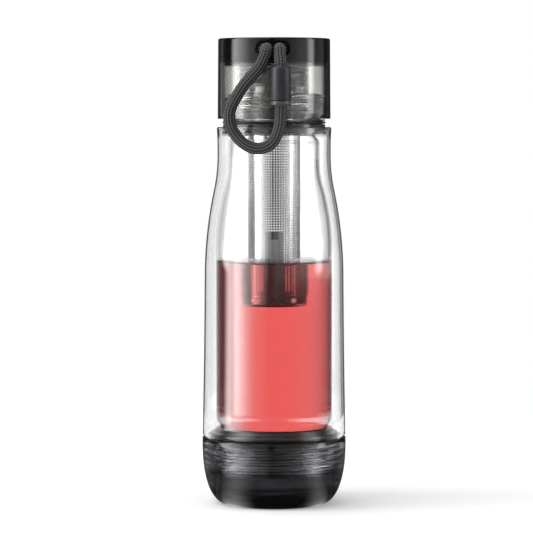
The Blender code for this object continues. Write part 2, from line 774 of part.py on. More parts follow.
def make_lid_liner(axis):
    """The inner cup of the lid, which carries the lid's thread and closes on the gasket."""
    foot_z = lid_foot_z + LINER_RISE
    outline = [
        (0, liner_top_z),
        (liner_r, liner_top_z),
        (liner_r, foot_z),
        (liner_bore_r, foot_z),
        (liner_bore_r, liner_ceiling_z),
        (0, liner_ceiling_z),
    ]
    liner = turned("lid_liner", outline)
    crest_r = thread_r + LID_RIB_DEPTH + LID_CREST_CLEAR
    start_z = collar_shoulder_z + LID_RIB_START + LID_PITCH / 2
    rib = helical_rib("liner_rib", liner_bore_r, crest_r, LID_PITCH, LID_FEMALE_TURNS, start_z)
    combine(liner, rib, "UNION")
    return finish(liner, new_material("liner_plastic", (0.8, 0.8, 0.78), 0.15, alpha=0.5), axis)


def make_hole_cutter():
    """A stadium-shaped bar along Y that cuts the cord hole through the front of the lid."""
    end_r = HOLE_HEIGHT / 2
    reach = HOLE_WIDTH / 2 - end_r
    front_y = -lid_r - OVERRUN
    mesh = bmesh.new()
    outline = []
    for side in (1, -1):
        for i in range(HOLE_END_STEPS + 1):
            angle = math.pi * (i / HOLE_END_STEPS - 0.5)
            x = HOLE_X + side * (reach + end_r * math.cos(angle))
            outline.append(mesh.verts.new((x, front_y, hole_z + side * end_r * math.sin(angle))))
    face = mesh.faces.new(outline)
    back = bmesh.ops.extrude_face_region(mesh, geom=[face])
    moved = [v for v in back["geom"] if isinstance(v, bmesh.types.BMVert)]
    bmesh.ops.translate(mesh, verts=moved, vec=(0, 2 * (LID_WALL + OVERRUN), 0))
    bmesh.ops.recalc_face_normals(mesh, faces=mesh.faces)
    data = bpy.data.meshes.new("cord_hole_cutter")
    mesh.to_mesh(data)
    mesh.free()
    return new_object("cord_hole_cutter", data)


def make_lid_cap(axis):
    """The smoky outer cap of the lid, a cylinder with a flat top and the cord hole near it."""
    edge_in = LID_EDGE * (1 - math.sin(math.pi / 4))
    outline = [
        (0, lid_top_z),
        (lid_top_r - LID_EDGE, lid_top_z),
        (lid_top_r - edge_in, lid_top_z - edge_in),
        (lid_top_r, lid_top_z - LID_EDGE),
        (lid_r, lid_foot_z),
        (lid_r - LID_WALL, lid_foot_z),
        (lid_bore_r, lid_ceiling_z),
        (0, lid_ceiling_z),
    ]
    cap = turned("lid_cap", outline)
    combine(cap, make_hole_cutter(), "DIFFERENCE")
    return finish(cap, new_material("smoky_lid", (0.2, 0.2, 0.21), 0.1, alpha=0.7), axis)


def make_cord_post(axis):
    """The post inside the lid, between its ceiling and the liner, that the cord goes round."""
    outline = [
        (0, lid_ceiling_z - SEAT),
        (POST_R, lid_ceiling_z - SEAT),
        (POST_R, liner_top_z + SEAT),
        (0, liner_top_z + SEAT),
    ]
    post = turned("cord_post", outline, SLEEVE_SEGMENTS)
    post = finish(post, new_material("post_plastic", (0.12, 0.12, 0.13), 0.35))
    post.location = (HOLE_X, -lid_bore_r + POST_INSET, 0)
    bpy.context.view_layer.update()
    hang(post, axis)
    return post


def make_cord(axis, lid_axis, sleeve_axis):
    """The braided cord: its free loop, its bight round the post in the lid, and the sleeve over its joint."""
    cord_material = new_material("braided_cord", (0.035, 0.034, 0.038), 0.8)
    free = [hinge_point + Vector((x * MM, -y * MM, z * MM)) for x, y, z in CORD_ROUTE]
    bight = [hinge_point + Vector((x * MM, y * MM, z * MM)) for x, y, z in BIGHT_ROUTE]
    finish(cord_tube("lanyard_cord", smooth_route(free, CORD_STEPS)), cord_material, axis)
    finish(cord_tube("cord_bight", smooth_route(bight, CORD_STEPS)), cord_material, lid_axis)
    sleeve_foot, sleeve_top = free[-5], free[-3]
    make_sleeve(sleeve_foot, sleeve_top, sleeve_axis)


def make_sleeve(foot, top, axis):
    """The moulded rubber sleeve over the cord's joint, and the satin band round its lower end."""
    length = top.z - foot.z
    chamfer_share = 0.5
    sleeve_outline = [
        (SLEEVE_R - SLEEVE_EDGE, length),
        (SLEEVE_R, length - SLEEVE_EDGE * chamfer_share),
        (SLEEVE_FOOT_R, BAND_HEIGHT + SEAT),
        (SLEEVE_BORE_R, BAND_HEIGHT + SEAT),
        (SLEEVE_BORE_R, length),
    ]
    band_outline = [
        (SLEEVE_FOOT_R - BAND_WAIST, BAND_HEIGHT),
        (SLEEVE_FOOT_R, BAND_RIM),
        (SLEEVE_FOOT_R, 0),
        (SLEEVE_BORE_R, 0),
        (SLEEVE_BORE_R, BAND_HEIGHT),
    ]
    for name, outline, color, roughness in (
        ("cord_sleeve", sleeve_outline, (0.05, 0.05, 0.058), 0.45),
        ("sleeve_band", band_outline, (0.12, 0.12, 0.13), 0.3),
    ):
        rubber = new_material(name + "_rubber", color, roughness)
        piece = finish(turned(name, outline, SLEEVE_SEGMENTS), rubber)
        piece.location = foot
        bpy.context.view_layer.update()
        hang(piece, axis)


def make_flask():
    """The whole flask: first the axes that its bodies move on, then every piece."""
    seal_axis = new_axis("base_screw_axis", (0, 0, shoulder_z))
    bottle_axis = new_axis("bottle_axis", (0, 0, shoulder_z), seal_axis)
    infuser_axis = new_axis("infuser_axis", (0, 0, mouth_z), bottle_axis)
    gasket_axis = new_axis("lid_screw_axis", (0, 0, gasket_z), infuser_axis)
    lid_axis = new_axis("lid_axis", (0, 0, gasket_z), gasket_axis)
    lanyard_axis = new_axis("lanyard_hinge_axis", hinge_point, lid_axis)

    make_base_cup()
    make_base_seal(seal_axis)
    make_outer_shell(bottle_axis)
    make_core_plug(bottle_axis)
    make_core_cushion(bottle_axis)
    make_glass_core(bottle_axis)
    make_neck_collar(bottle_axis)
    make_neck_bush(bottle_axis)
    make_neck_ring(bottle_axis)
    make_infuser_tube(infuser_axis)
    make_infuser_foot(infuser_axis)
    make_infuser_rim(infuser_axis)
    make_infuser_seal(infuser_axis)
    make_lid_gasket(gasket_axis)
    make_lid_liner(lid_axis)
    make_lid_cap(lid_axis)
    make_cord_post(lid_axis)
    make_cord(lanyard_axis, lid_axis, lanyard_axis)


clear_scene()
make_flask()
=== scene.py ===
import math

import bmesh
import bpy
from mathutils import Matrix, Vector


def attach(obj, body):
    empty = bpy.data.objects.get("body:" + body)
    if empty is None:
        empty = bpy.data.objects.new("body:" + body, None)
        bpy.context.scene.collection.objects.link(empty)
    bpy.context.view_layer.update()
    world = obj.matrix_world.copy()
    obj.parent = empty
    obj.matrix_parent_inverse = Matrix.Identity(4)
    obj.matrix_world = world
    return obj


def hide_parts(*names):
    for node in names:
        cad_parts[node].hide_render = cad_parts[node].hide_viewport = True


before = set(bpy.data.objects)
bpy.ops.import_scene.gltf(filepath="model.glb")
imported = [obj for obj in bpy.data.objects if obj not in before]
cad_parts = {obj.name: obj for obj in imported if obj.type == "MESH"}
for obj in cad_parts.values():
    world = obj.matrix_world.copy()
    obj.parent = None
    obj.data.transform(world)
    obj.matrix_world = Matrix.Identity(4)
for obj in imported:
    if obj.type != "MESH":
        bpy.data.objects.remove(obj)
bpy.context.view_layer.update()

mm = 0.001


# The studio: a long lens a little above the flask's middle, a white sweep behind the flask and a white table
# under it. Tall light boxes at the sides give the bright bands on lid, base and steel, and the dark room behind
# camera gives the dark ones. Black boards beside and before the flask, out of the picture, draw its outline;
# they are painted into the world's light and, as painted dark reflections, into the table's colour.
def add_node(tree, kind, feeds=None, **settings):
    """A new node with its settings; feeds gives numbers, colours or other nodes' sockets for its inputs."""
    made = tree.nodes.new(kind)
    for name, value in settings.items():
        setattr(made, name, value)
    for name, value in (feeds or {}).items():
        if isinstance(value, bpy.types.NodeSocket):
            tree.links.new(value, made.inputs[name])
        else:
            made.inputs[name].default_value = value
    return made


def reckon(tree, operation, *values):
    """The result of one Math node."""
    return add_node(tree, "ShaderNodeMath", dict(enumerate(values)), operation=operation).outputs[0]


def product(tree, first, *others):
    """Several values multiplied together."""
    for other in others:
        first = reckon(tree, "MULTIPLY", first, other)
    return first


def fade(tree, value, low, high, dark=0.0, light=1.0):
    """A soft step from dark to light while the value goes from low to high."""
    limits = {"Value": value, "From Min": low, "From Max": high, "To Min": dark, "To Max": light}
    return add_node(tree, "ShaderNodeMapRange", limits, interpolation_type="SMOOTHSTEP").outputs["Result"]


camera = bpy.data.objects.new("camera", bpy.data.cameras.new("camera"))
bpy.context.scene.collection.objects.link(camera)
camera.data.lens = 183
camera.data.sensor_width = 36
camera.location = (-3.9 * mm, -1.39, 0.2)
camera.rotation_euler = (math.radians(86.78), 0, 0)
bpy.context.scene.camera = camera
bpy.context.scene.view_settings.view_transform = "Standard"
for limit in ("max_bounces", "transmission_bounces", "transparent_max_bounces"):
    setattr(bpy.context.scene.cycles, limit, 40)

world = bpy.data.worlds.new("studio_light")
bpy.context.scene.world = world
world.use_nodes = True
sky = world.node_tree
direction = add_node(sky, "ShaderNodeTexCoord").outputs["Generated"]
toward = add_node(sky, "ShaderNodeSeparateXYZ", {"Vector": direction}).outputs
turn = reckon(sky, "ARCTAN2", toward["X"], reckon(sky, "MULTIPLY", toward["Y"], -1.0))
left_turn = reckon(sky, "MULTIPLY", turn, -1.0)
aside = reckon(sky, "ABSOLUTE", turn)
path = add_node(sky, "ShaderNodeLightPath").outputs
# How many clear surfaces a ray has gone through: 2 behind one wall of the shell, 4 after a reflection inside the
# shell, 8 after one inside the glass core or the base's threads, and more where it has been in the tea.
crossed = path["Transmission Depth"]


def box_light(angle, start, start_soft, end, end_soft, low, high, rim, strength):
    """One light box, between two angles from the camera's side and two heights, with soft edges."""
    return product(
        sky,
        fade(sky, angle, math.radians(start - start_soft), math.radians(start + start_soft)),
        fade(sky, angle, math.radians(end - end_soft), math.radians(end + end_soft), 1.0, 0.0),
        fade(sky, toward["Z"], low - rim, low + rim),
        fade(sky, toward["Z"], high - rim, high + rim, 1.0, 0.0),
        strength,
    )


overhead = product(sky, fade(sky, toward["Z"], 0.5, 0.9, 0.0, 1.1), fade(sky, toward["X"], -0.45, 0.35, 1.8, 0.3))
left_side = fade(sky, left_turn, math.radians(118), math.radians(170))
right_side = reckon(sky, "POWER", fade(sky, turn, math.radians(128), math.radians(176)), 2.0)
sweep = product(sky, reckon(sky, "MAXIMUM", left_side, right_side), 1.25, fade(sky, toward["Z"], 0.35, 0.7, 1.0, 0.0))
board_edge = reckon(sky, "MULTIPLY_ADD", crossed, math.radians(11), math.radians(134))
board = product(
    sky,
    fade(sky, reckon(sky, "SUBTRACT", aside, board_edge), 0.0, math.radians(8)),
    fade(sky, crossed, 2.2, 2.8, 0.96, 0.0),
    reckon(sky, "SUBTRACT", 1.0, path["Is Diffuse Ray"]),
)
backdrop = product(sky, sweep, reckon(sky, "SUBTRACT", 1.0, board))
glow = reckon(sky, "ADD", 0.05, reckon(sky, "ADD", overhead, backdrop))

# dry leaves a light out of rays that have been in the tea, and half_dry halves it for them.
dry = fade(sky, crossed, 8.2, 9.2, 1.0, 0.0)
half_dry = reckon(sky, "MULTIPLY_ADD", dry, 0.5, 0.5)
near_left = reckon(sky, "POWER", fade(sky, left_turn, 0.0, math.radians(92)), 3.0)
leaning = reckon(sky, "ADD", left_turn, fade(sky, toward["Z"], -0.035, 0.01, math.radians(9), 0.0))
turned = reckon(sky, "SUBTRACT", turn, fade(sky, crossed, 6.2, 7.2, 0.0, math.radians(20)))
# For each box: where it starts and how softly, and where it ends and how softly, in degrees; the Z of its lowest and
# highest directions, and their softness; its strength; and how much of it is left for rays from the tea.
for light, share in (
    (product(sky, box_light(leaning, 15, 1.5, 95, 7, -0.35, 0.65, 0.1, 6.0), near_left), half_dry),
    (box_light(left_turn, 10, 2, 42, 8, -0.045, 0.65, 0.015, 0.36), dry),
    (box_light(left_turn, 15, 1.5, 80, 10, -0.3, 0.6, 0.1, 0.12), dry),
    (box_light(turn, 74, 6, 89, 5, -0.03, 0.65, 0.02, 4.2), half_dry),
    (box_light(turned, 0, 2, 122, 6, -0.045, 0.65, 0.015, 0.33), dry),
    (box_light(turn, 48, 20, 84, 6, -0.045, 0.65, 0.015, 0.6), dry),
    (box_light(turn, 92, 5, 119, 5, -0.045, 0.012, 0.01, 0.8), dry),
):
    glow = reckon(sky, "ADD", glow, reckon(sky, "MULTIPLY", light, share))
strength = add_node(sky, "ShaderNodeMix", {"Factor": path["Is Camera Ray"], "A": glow, "B": 1.0}).outputs["Result"]
sky.links.new(strength, sky.nodes["Background"].inputs["Strength"])
sky.nodes["Background"].inputs["Color"].default_value = (1, 1, 1, 1)

bpy.ops.object.select_all(action="DESELECT")
bpy.ops.mesh.primitive_circle_add(vertices=96, radius=0.45, fill_type="NGON")
table = bpy.context.object
table.name = table.data.name = "table"
table_white = bpy.data.materials.new("table_white")
table_white.use_nodes = True
table_tree = table_white.node_tree
shader = table_tree.nodes["Principled BSDF"]
shader.inputs["Roughness"].default_value = 0.7
shader.inputs["Specular IOR Level"].default_value = 0.0
shader.inputs["Emission Color"].default_value = (1, 1, 1, 1)
table_spot = add_node(table_tree, "ShaderNodeTexCoord").outputs["Object"]
place = add_node(table_tree, "ShaderNodeSeparateXYZ", {"Vector": table_spot}).outputs
bearing = reckon(table_tree, "ARCTAN2", place["X"], reckon(table_tree, "MULTIPLY", place["Y"], -1.0))
aside = reckon(table_tree, "ABSOLUTE", bearing)
away = add_node(table_tree, "ShaderNodeVectorMath", {"Vector": table_spot}, operation="LENGTH").outputs["Value"]
path = add_node(table_tree, "ShaderNodeLightPath").outputs
crossed = path["Transmission Depth"]

# Painted dark reflections: the table's colour is painted dark where black boards would stand, and this shows only in
# mirror images and through clear pieces.
direct = reckon(table_tree, "ADD", path["Is Camera Ray"], path["Is Diffuse Ray"])
mirrored = reckon(table_tree, "SUBTRACT", 1.0, direct)
in_front = fade(table_tree, place["Y"], -0.02, 0.06, 1.0, 0.0)
board_edge = reckon(table_tree, "MULTIPLY_ADD", crossed, math.radians(38), math.radians(80))
beside = product(
    table_tree,
    fade(table_tree, reckon(table_tree, "SUBTRACT", aside, board_edge), 0.0, math.radians(8)),
    fade(table_tree, crossed, 2.2, 2.8, 1.0, 0.0),
)
painted_dark_boards = product(table_tree, reckon(table_tree, "MAXIMUM", in_front, beside), mirrored)

# Two painted pools of light on the boards, glowing in the table's emission, shine on the base cup, and a painted ring
# of light round the flask shines on the base's threads; both show only in mirror images.
painted_left_pool = reckon(table_tree, "ABSOLUTE", reckon(table_tree, "ADD", bearing, math.radians(50)))
painted_left_pool = fade(table_tree, painted_left_pool, 0.0, 0.5, 1.3, 0.0)
painted_right_pool = reckon(table_tree, "ABSOLUTE", reckon(table_tree, "SUBTRACT", bearing, math.radians(56)))
painted_right_pool = fade(table_tree, painted_right_pool, 0.0, 0.4, 0.9, 0.0)
painted_spill = reckon(table_tree, "ADD", painted_left_pool, painted_right_pool)
painted_spill = product(table_tree, painted_spill, fade(table_tree, crossed, 2.2, 3.2, 1.0, 0.0))
near = product(
    table_tree,
    fade(table_tree, aside, math.radians(10), math.radians(85), 0.5, 14.0),
    fade(table_tree, aside, math.radians(130), math.radians(146), 1.0, 0.0),
    fade(table_tree, away, 0.1, 0.125),
    fade(table_tree, away, 0.26, 0.32, 1.0, 0.0),
    fade(table_tree, crossed, 7.2, 7.8),
    fade(table_tree, crossed, 8.2, 8.8, 1.0, 0.0),
)
painted_spill = reckon(table_tree, "MULTIPLY_ADD", painted_dark_boards, painted_spill, reckon(table_tree, "MULTIPLY", mirrored, near))
# Where the painted boards stand, the table's colour and glow drop to a fraction: painted dark reflections.
bare = reckon(table_tree, "MULTIPLY_ADD", painted_dark_boards, -0.93, 1.0)
# The table's glow: an even glow, plus the painted pools of light.
lit = reckon(table_tree, "MULTIPLY_ADD", bare, 0.22, painted_spill)
table_tree.links.new(reckon(table_tree, "MULTIPLY", bare, 0.9), shader.inputs["Base Color"])
table_tree.links.new(lit, shader.inputs["Emission Strength"])
table.data.materials.append(table_white)


# The base cup: a thick bowl of polished smoky plastic that the flask stands on. It is moulded, with a screw thread
# inside its mouth for the shell's skirt and a hollow below that.
def spun(name, outline, steps=144, centre=(0, 0), closed=True):
    """A turned piece: its half section, a line of (radius, height) in millimetres, spun round an upright axis."""
    bpy.ops.object.select_all(action="DESELECT")
    bpy.ops.mesh.primitive_plane_add(size=mm)
    piece = bpy.context.object
    piece.name = piece.data.name = name
    bpy.ops.object.mode_set(mode="EDIT")
    bpy.ops.mesh.merge(type="CENTER")
    x, y = centre[0] * mm, centre[1] * mm
    bpy.ops.transform.translate(value=(x + outline[0][0] * mm, y, outline[0][1] * mm))
    for (r0, z0), (r1, z1) in zip(outline, outline[1:]):
        step = ((r1 - r0) * mm, 0, (z1 - z0) * mm)
        bpy.ops.mesh.extrude_vertices_move(TRANSFORM_OT_translate={"value": step})
    if closed:
        drawn = bmesh.from_edit_mesh(piece.data)
        drawn.verts.ensure_lookup_table()
        drawn.verts[0].select_set(True)
        bpy.ops.mesh.edge_face_add()
    bpy.ops.mesh.select_all(action="SELECT")
    bpy.ops.mesh.spin(steps=steps, angle=2 * math.pi, center=(x, y, 0), axis=(0, 0, 1))
    bpy.ops.mesh.select_all(action="SELECT")
    bpy.ops.mesh.remove_doubles(threshold=0.003 * mm)
    bpy.ops.mesh.normals_make_consistent(inside=False)
    bpy.ops.object.mode_set(mode="OBJECT")
    return piece


def ease_edges(piece, width, steps=2, angle=35):
    """Rounds a piece's sharp edges a little and shades the rest smooth."""
    bpy.ops.object.select_all(action="DESELECT")
    piece.select_set(True)
    bpy.context.view_layer.objects.active = piece
    bpy.ops.object.modifier_add(type="BEVEL")
    bevel = piece.modifiers[-1]
    bevel.width = width * mm
    bevel.segments = steps
    bevel.limit_method = "ANGLE"
    bevel.angle_limit = math.radians(angle)
    bevel.harden_normals = False
    bpy.ops.object.modifier_apply(modifier=bevel.name)
    bpy.ops.object.shade_smooth_by_angle(angle=math.radians(angle))


def bowl(flat_r, low, full_r, high, steps):
    """A bowl's side in section, from its flat floor up to its full radius."""
    points = []
    for i in range(steps + 1):
        angle = math.pi / 2 * i / steps
        points.append((flat_r + (full_r - flat_r) * math.sin(angle), high - (high - low) * math.cos(angle) ** 0.769))
    return points


def quarter_round(centre, radius, steps):
    """A quarter circle in section, from straight below its centre out to its side."""
    r, z = centre
    angles = [i * math.pi / (2 * steps) for i in range(steps + 1)]
    return [(r + radius * math.sin(a), z - radius * math.cos(a)) for a in angles]


def rows(radius, start, end, pitch=0.15):
    """Evenly spaced points up or down a plain wall, close enough together to carry a thread."""
    count = round(abs(end - start) / pitch)
    return [(radius, start + (end - start) * i / count) for i in range(count + 1)]


def raise_thread(piece, wall_r, crest_r, pitch, start, turns, foot, crest):
    """Moves a wall's points out or in to form a helical rib whose ends run out into the wall."""
    for v in piece.data.vertices:
        radius = math.hypot(v.co.x, v.co.y)
        if abs(radius - wall_r * mm) > 0.01 * mm:
            continue
        part_turn = math.atan2(v.co.y, v.co.x) / (2 * math.pi) % 1
        along = (v.co.z / mm - start) / pitch
        place = round(along - part_turn) + part_turn
        if not 0 < place < turns:
            continue
        off = abs(along - place) * pitch
        share = min(1.0, max(0.0, (foot / 2 - off) / ((foot - crest) / 2)))
        rise = share * share * (3 - 2 * share) * min(1.0, place / 0.12, (turns - place) / 0.12)
        grown = (wall_r + (crest_r - wall_r) * rise) * mm / radius
        v.co.x *= grown
        v.co.y *= grown


def moulded_skin():
    """Node group: the faint waviness and fine scuffs of a moulded or blown surface, as a height and a roughness."""
    group = bpy.data.node_groups.new("moulded_skin", "ShaderNodeTree")
    for name, kind, way in (
        ("Wave Size", "NodeSocketFloat", "INPUT"),
        ("Roughness", "NodeSocketFloat", "INPUT"),
        ("Scuffs", "NodeSocketFloat", "INPUT"),
        ("Height", "NodeSocketFloat", "OUTPUT"),
        ("Roughness", "NodeSocketFloat", "OUTPUT"),
    ):
        group.interface.new_socket(name, in_out=way, socket_type=kind)
    given = group.nodes.new("NodeGroupInput").outputs
    place = add_node(group, "ShaderNodeTexCoord").outputs["Object"]
    wave = add_node(group, "ShaderNodeTexNoise", {"Vector": place, "Scale": given["Wave Size"], "Detail": 1.0})
    fine = add_node(group, "ShaderNodeTexNoise", {"Vector": place, "Scale": 1400.0, "Detail": 3.0})
    patch = add_node(group, "ShaderNodeTexNoise", {"Vector": place, "Scale": 60.0, "Detail": 2.0})
    scuff = fade(group, reckon(group, "MULTIPLY", fine.outputs["Fac"], patch.outputs["Fac"]), 0.25, 0.42)
    rough = reckon(group, "MULTIPLY_ADD", scuff, given["Scuffs"], given["Roughness"])
    result = group.nodes.new("NodeGroupOutput")
    group.links.new(wave.outputs["Fac"], result.inputs["Height"])
    group.links.new(rough, result.inputs["Roughness"])
    return group


skin = moulded_skin()


def clear_stuff(name, color, ior, wave=90.0, rough=0.012, scuffs=0.03, depth=0.02):
    """A see-through plastic or glass with a moulded skin. Returns the material, its tree and its shader."""
    material = bpy.data.materials.new(name)
    material.use_nodes = True
    tree = material.node_tree
    shader = tree.nodes["Principled BSDF"]
    surface = add_node(tree, "ShaderNodeGroup", node_tree=skin)
    surface.inputs["Wave Size"].default_value = wave
    surface.inputs["Roughness"].default_value = rough
    surface.inputs["Scuffs"].default_value = scuffs
    bump = add_node(
        tree, "ShaderNodeBump", {"Height": surface.outputs["Height"], "Strength": depth, "Distance": 0.5 * mm}
    )
    tree.links.new(bump.outputs["Normal"], shader.inputs["Normal"])
    tree.links.new(surface.outputs["Roughness"], shader.inputs["Roughness"])
    shader.inputs["Base Color"].default_value = (*color, 1)
    shader.inputs["Transmission Weight"].default_value = 1.0
    shader.inputs["IOR"].default_value = ior
    return material, tree, shader


def tint_through(tree, color, density):
    """Lets the stuff take off light by its depth, as smoky plastic or tea does."""
    depth = add_node(tree, "ShaderNodeVolumeAbsorption", {"Color": (*color, 1), "Density": density})
    tree.links.new(depth.outputs["Volume"], tree.nodes["Material Output"].inputs["Volume"])


base_cup = spun(
    "base_cup_smoky",
    [
        (0, 3.2),
        (13.0, 3.2),
        (13.5, 3.6),
        (14.6, 3.6),
        (15.1, 3.2),
        *bowl(20.0, 3.2, 31.9, 16.3, 14),
        *rows(34.4, 16.3, 32.6),
        (35.8, 32.6),
        (35.8, 33.9),
        *reversed(bowl(25.0, 0, 36.9, 33.9, 28)),
        (0, 0),
    ],
    closed=False,
)
base_pitch, lid_pitch = 3.07, 4.0
raise_thread(base_cup, wall_r=34.4, crest_r=33.4, pitch=base_pitch, start=19.135, turns=3.9, foot=1.3, crest=0.6)
ease_edges(base_cup, 0.25)
smoky_base, base_tree, shader = clear_stuff("smoky_base", (0.93, 0.93, 0.94), 1.5, scuffs=0.04)


def place_in(tree):
    """Where a point lies in its piece, as the outputs X, Y and Z."""
    place = add_node(tree, "ShaderNodeTexCoord").outputs["Object"]
    return add_node(tree, "ShaderNodeSeparateXYZ", {"Vector": place}).outputs


def shade_by_height(tree, shader, low, high, below, above):
    """Lets a piece's colour pass from one to another between two heights in millimetres."""
    smoke = add_node(tree, "ShaderNodeValToRGB", {"Fac": fade(tree, place_in(tree)["Z"], low * mm, high * mm)})
    smoke.color_ramp.elements[0].color = (*below, 1)
    smoke.color_ramp.elements[1].color = (*above, 1)
    tree.links.new(smoke.outputs["Color"], shader.inputs["Base Color"])


# Below the thread the cup's colour darkens: painted shade that dims the lower bowl and the glint of the plug's lower
# edge behind it.
shade_by_height(base_tree, shader, 18.6, 20.2, (0.32, 0.32, 0.33), (0.95, 0.95, 0.96))
tint_through(base_tree, (0.03, 0.0, 0.05), 220)
base_cup.data.materials.append(smoky_base)
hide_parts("base_cup")
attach(base_cup, "base")


# The base seal: a black silicone ring that lies in the cup's mouth, under the shell's shoulder.
# It is moulded with rounded edges and lies loose round the skirt.
def dull_stuff(name, color, rough, grain=900.0, depth=0.15, spread=0.12):
    """An opaque moulded rubber or plastic with a fine grain. Returns the material, its tree and its shader."""
    material = bpy.data.materials.new(name)
    material.use_nodes = True
    tree = material.node_tree
    shader = tree.nodes["Principled BSDF"]
    place = add_node(tree, "ShaderNodeTexCoord").outputs["Object"]
    fine = add_node(tree, "ShaderNodeTexNoise", {"Vector": place, "Scale": grain, "Detail": 3.0}).outputs["Fac"]
    wide = add_node(tree, "ShaderNodeTexNoise", {"Vector": place, "Scale": grain / 12, "Detail": 2.0}).outputs["Fac"]
    shade = add_node(tree, "ShaderNodeValToRGB", {"Fac": wide})
    shade.color_ramp.elements[0].color = (*[c * (1 - spread) for c in color], 1)
    shade.color_ramp.elements[1].color = (*[c * (1 + spread) for c in color], 1)
    shade.color_ramp.elements[0].position, shade.color_ramp.elements[1].position = 0.35, 0.65
    tree.links.new(shade.outputs["Color"], shader.inputs["Base Color"])
    tree.links.new(fade(tree, wide, 0.3, 0.7, rough - 0.05, rough + 0.07), shader.inputs["Roughness"])
    bump = add_node(tree, "ShaderNodeBump", {"Height": fine, "Strength": depth, "Distance": 0.05 * mm})
    tree.links.new(bump.outputs["Normal"], shader.inputs["Normal"])
    return material, tree, shader


base_seal = spun("base_seal_black", [(35.5, 34.1), (35.5, 32.9), (33.3, 32.9), (33.3, 34.1)])
ease_edges(base_seal, 0.35, 3)
base_seal.data.materials.append(dull_stuff("black_silicone", (0.012, 0.012, 0.014), 0.42)[0])
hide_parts("base_seal_ring")
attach(base_seal, "base_seal")


# The outer shell: one clear moulding from the neck's lip over the shoulder to the threaded skirt at its foot.
# It is tough clear plastic, polished in the mould, and its wall darkens towards its outline.
def sweep_in(low, bend, high, steps=12):
    """Two arcs that meet at height bend and lead from low up to high, upright at both ends."""
    (low_r, low_z), (high_r, high_z) = low, high
    lean = 2 * math.atan((low_r - high_r) / (high_z - low_z))
    low_arc, high_arc = (bend - low_z) / math.sin(lean), (high_z - bend) / math.sin(lean)
    angles = [lean * i / steps for i in range(steps + 1)]
    lower = [(low_r - low_arc * (1 - math.cos(a)), low_z + low_arc * math.sin(a)) for a in angles]
    upper = [(high_r + high_arc * (1 - math.cos(a)), high_z - high_arc * math.sin(a)) for a in angles[-2::-1]]
    return lower + upper


def through(points, steps=6):
    """A smooth line through a few points of a section."""
    line = []
    ends = [points[0], *points, points[-1]]
    for p, a, b, q in zip(ends, ends[1:], ends[2:], ends[3:]):
        for i in range(steps):
            t = i / steps
            line.append(
                tuple(
                    k0 + ((k1 - j) * t + (2 * j - 5 * k0 + 4 * k1 - k2) * t * t + (3 * k0 - j - 3 * k1 + k2) * t**3) / 2
                    for j, k0, k1, k2 in zip(p, a, b, q)
                )
            )
    return line + [points[-1]]


shell_side = [
    *through([(36.75, 35.8), (36.05, 75.7), (35.65, 116.1)])[:-1],
    *sweep_in((35.65, 116.1), 161.0, (29.0, 179.0)),
    (29.0, 182.5),
    (29.02, 186.1),
    (29.15, 189.5),
    (29.35, 192.8),
]
shell = spun(
    "outer_shell_clear",
    [
        (28.85, 193.3),
        *reversed(shell_side),
        (35.85, 34.4),
        *rows(33.0, 34.4, 16.6),
        (31.0, 16.6),
        (31.0, 35.0),
        (34.15, 35.0),
        (35.0, 38.2),
        *[(r - 1.7, z) for r, z in shell_side[1:-2]],
        (27.65, 191.8),
        (26.45, 191.8),
        (26.45, 193.3),
    ],
)
raise_thread(shell, wall_r=33.0, crest_r=34.1, pitch=base_pitch, start=17.6, turns=4.4, foot=1.3, crest=0.6)
ease_edges(shell, 0.25)
shell.data.materials.append(clear_stuff("clear_shell", (0.985, 0.988, 0.99), 1.54)[0])
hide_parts("outer_shell")
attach(shell, "bottle")


# The core plug: a cup of silvery grey plastic with fine grooves turned round it, pressed into the skirt from below.
# It closes the space round the glass and shines through the threads of shell and base.
plug = spun(
    "core_plug_grey",
    [(0, 18.6), (26.0, 18.6), (28.7, 20.6), (28.7, 33.0), (30.7, 33.0), (30.7, 17.4), (29.9, 16.6), (0, 16.6)],
    closed=False,
)
ease_edges(plug, 0.3)
grey_plastic, plug_tree, shader = dull_stuff("grey_plastic", (0.8, 0.8, 0.8), 0.16)
shade_by_height(plug_tree, shader, 30.2, 31.2, (0.95, 0.95, 0.95), (0.06, 0.06, 0.065))
groove_pitch = 1.535 * mm
grooves = reckon(plug_tree, "SINE", reckon(plug_tree, "MULTIPLY", place_in(plug_tree)["Z"], 2 * math.pi / groove_pitch))
grain = shader.inputs["Normal"].links[0].from_socket
bump = add_node(
    plug_tree, "ShaderNodeBump", {"Height": grooves, "Strength": 1.0, "Distance": 0.07 * mm, "Normal": grain}
)
plug_tree.links.new(bump.outputs["Normal"], shader.inputs["Normal"])


def dim(tree, shader, share):
    """Multiplies a piece's colour by a value between nought and one."""
    color = {"Vector": shader.inputs["Base Color"].links[0].from_socket, "Scale": share}
    color = add_node(tree, "ShaderNodeVectorMath", color, operation="SCALE").outputs["Vector"]
    tree.links.new(color, shader.inputs["Base Color"])


# The grooves' hollows are painted dark: painted shade in the grooves.
dim(plug_tree, shader, fade(plug_tree, grooves, -0.5, 0.6, 0.05, 1.0))
shader.inputs["Metallic"].default_value = 1.0
plug.data.materials.append(grey_plastic)
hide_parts("core_plug")
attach(plug, "bottle")


